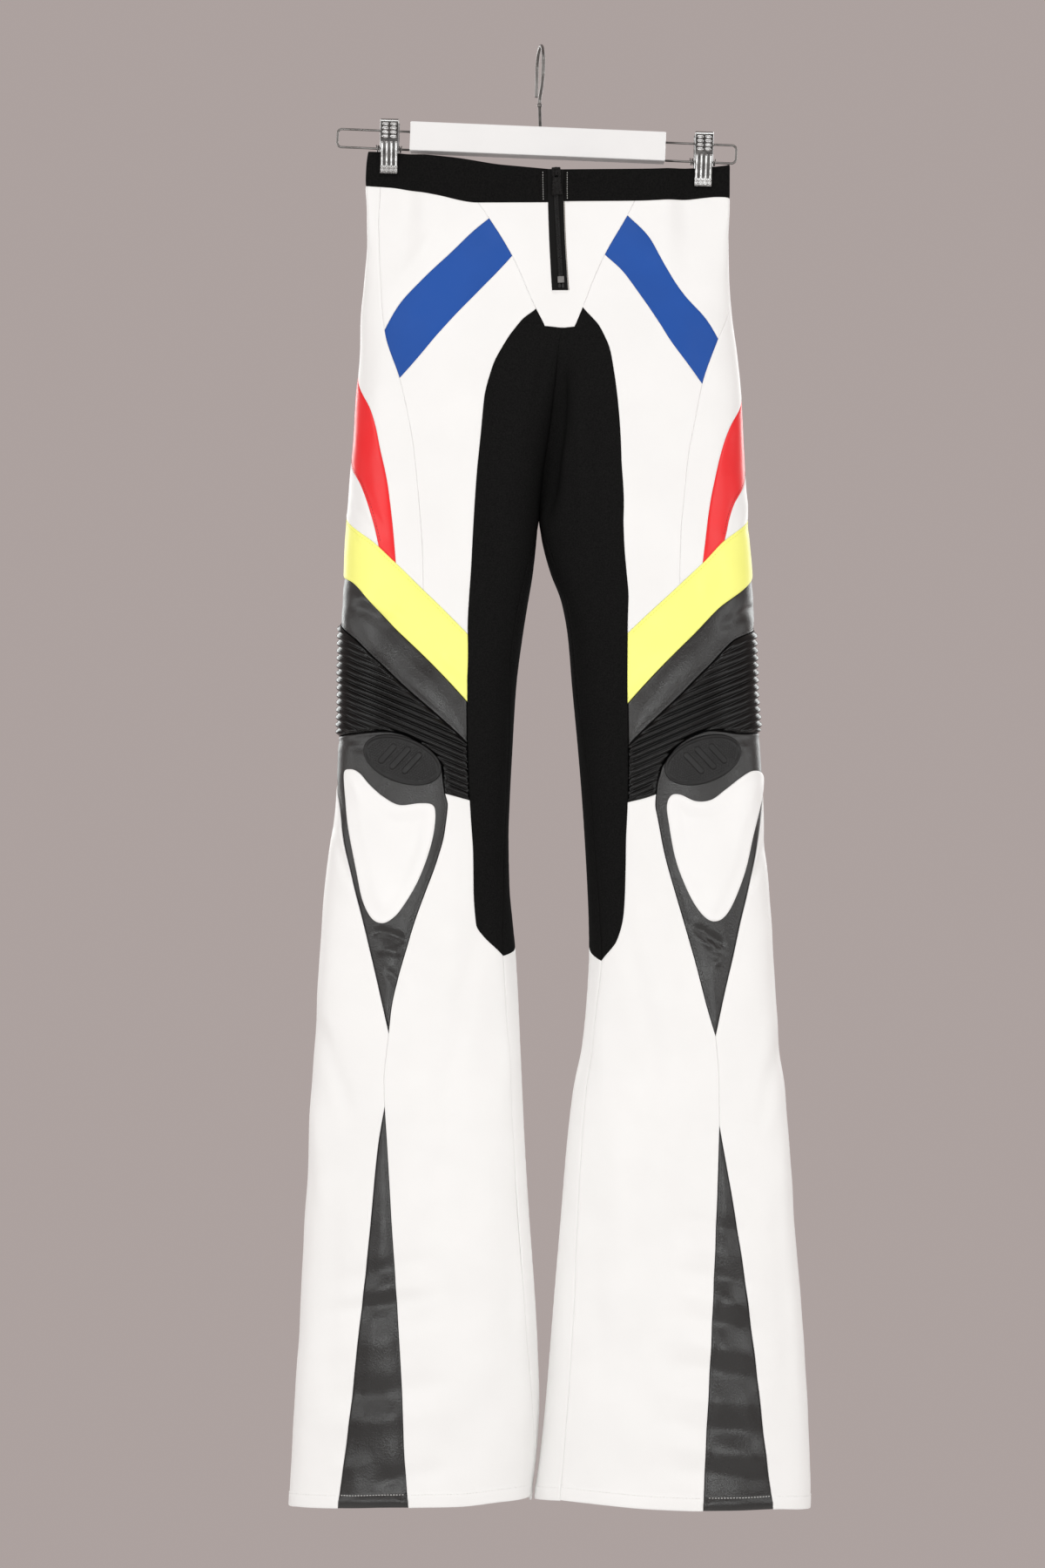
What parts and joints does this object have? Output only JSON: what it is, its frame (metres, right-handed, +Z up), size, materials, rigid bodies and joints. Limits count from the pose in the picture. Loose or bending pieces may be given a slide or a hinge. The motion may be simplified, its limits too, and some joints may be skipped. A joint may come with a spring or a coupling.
{
  "type": "biker pants on a clip hanger",
  "caption": "Panelled motorcycle-style flared pants hung flat from a two-clip hanger: padded knees, ribbed stretch panels, stripes and a front zip with a swinging pull.",
  "frame": {"origin": "inside top of the hanger's hook, where the rail it hangs on bears", "axes": "+Z up along the hanging legs, +X across the pants, -Y is the garment's front"},
  "size_m": [0.4669, 0.0975, 1.3082],
  "materials": {
    "white_leather": "satin white coated faux leather, fine grain",
    "white_pad": "satin white coated faux leather over thin padding",
    "blue_leather": "satin royal blue coated faux leather",
    "red_leather": "glossy red coated faux leather",
    "yellow_leather": "satin neon yellow coated faux leather",
    "black_leather": "black coated faux leather with soft highlights",
    "black_stretch": "matte black stretch jersey",
    "black_rubber": "matte black moulded rubber",
    "zip_tape": "black woven zip tape",
    "zip_metal": "dark zip slider and pull",
    "zip_stop": "grey zip stop",
    "chrome": "polished plated wire and pressed sheet",
    "dark_steel": "darkened steel stem",
    "white_lacquer": "glossy white lacquered bar"
  },
  "bodies": {
    "pants": {"back_panel_L": "white_leather", "back_panel_R": "white_leather", "blue_stripe_L": "blue_leather", "blue_stripe_R": "blue_leather", "hip_front_L": "white_leather", "hip_front_R": "white_leather", "thigh_front_L": "white_leather", "thigh_front_R": "white_leather", "side_panel_L": "white_leather", "side_panel_R": "white_leather", "red_stripe_L": "red_leather", "red_stripe_R": "red_leather", "side_lower_L": "white_leather", "side_lower_R": "white_leather", "yellow_stripe_L": "yellow_leather", "yellow_stripe_R": "yellow_leather", "leather_band_L": "black_leather", "leather_band_R": "black_leather", "rib_panel_L": "black_leather", "rib_panel_R": "black_leather", "knee_base_L": "black_leather", "knee_base_R": "black_leather", "knee_shield_L": "white_pad", "knee_shield_R": "white_pad", "knee_patch_L": "black_rubber", "knee_patch_R": "black_rubber", "lower_front_L": "white_leather", "lower_front_R": "white_leather", "lower_outer_L": "white_leather", "lower_outer_R": "white_leather", "hem_gusset_L": "black_leather", "hem_gusset_R": "black_leather", "inner_panel_L": "black_stretch", "inner_panel_R": "black_stretch", "inner_back_L": "black_stretch", "inner_back_R": "black_stretch", "waistband_front_L": "black_stretch", "waistband_front_R": "black_stretch", "clip_front_L": "chrome", "clip_front_R": "chrome", "clip_back_L": "chrome", "clip_back_R": "chrome", "clip_spring_L": "chrome", "clip_spring_R": "chrome", "hanger_wire_L": "chrome", "hanger_wire_R": "chrome", "fly_panel": "white_leather", "zip_tape": "zip_tape", "waistband_back": "black_stretch", "zip_slider": "zip_metal", "zip_stop": "zip_stop", "hanger_bar": "white_lacquer", "hanger_hook": "chrome", "hanger_stem": "dark_steel"},
    "zip_pull": {"zip_pull": "zip_metal"}
  },
  "joints": [
    {"name": "pull_swing", "type": "hinge", "parent": "pants", "child": "zip_pull", "pos_m": [0.0136, -0.01633, -0.11373], "axis": [-0.9991, -0.0034, -0.0434], "range_deg": [0, 160]}
  ]
}
